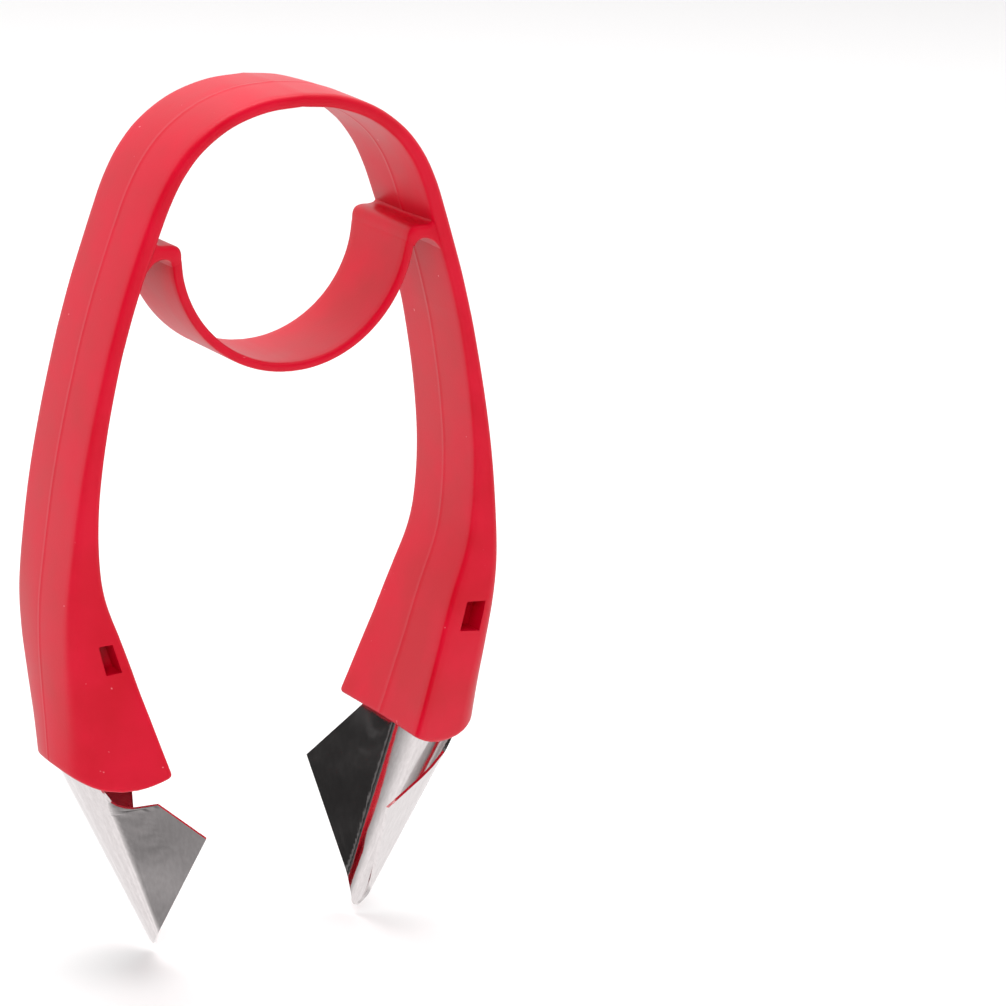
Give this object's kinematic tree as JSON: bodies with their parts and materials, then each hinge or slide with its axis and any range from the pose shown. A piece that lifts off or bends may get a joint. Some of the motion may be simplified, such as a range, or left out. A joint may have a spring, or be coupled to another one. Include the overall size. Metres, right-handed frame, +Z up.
{
  "type": "fruit-coring tongs",
  "caption": "Springy moulded plastic handle with a finger ring and two pointed V-shaped steel scoop blades facing each other, squeezed together to pull cores and stalks out of fruit.",
  "frame": {"origin": "centre of the finger ring's round strap, half way through the band's depth", "axes": "+X across the tongs to the right arm, +Y through the band's depth along the finger ring's axis, +Z up to the crown of the arch, blade tips down"},
  "size_m": [0.075, 0.0276, 0.1354],
  "materials": {
    "red_plastic": "satin moulded",
    "blade_steel": "polished"
  },
  "bodies": {
    "ring": {"finger_ring": "red_plastic"},
    "left_jaw": {"left_arm": "red_plastic", "left_blade": "blade_steel"},
    "right_jaw": {"right_arm": "red_plastic", "right_blade": "blade_steel"}
  },
  "joints": [
    {"name": "right_flex", "type": "hinge", "parent": "ring", "child": "right_jaw", "pos_m": [0.0301, 0, -0.0164], "axis": [0, 1, 0], "range_deg": [0, 10.2], "stiffness_Nm_per_rad": 1.8},
    {"name": "left_flex", "type": "hinge", "parent": "ring", "child": "left_jaw", "pos_m": [-0.0301, 0, -0.0164], "axis": [0, -1, 0], "range_deg": [0, 10.2], "stiffness_Nm_per_rad": 1.8}
  ],
  "couplings": [
    {"joint": "left_flex", "follows": "right_flex", "ratio": 1}
  ]
}
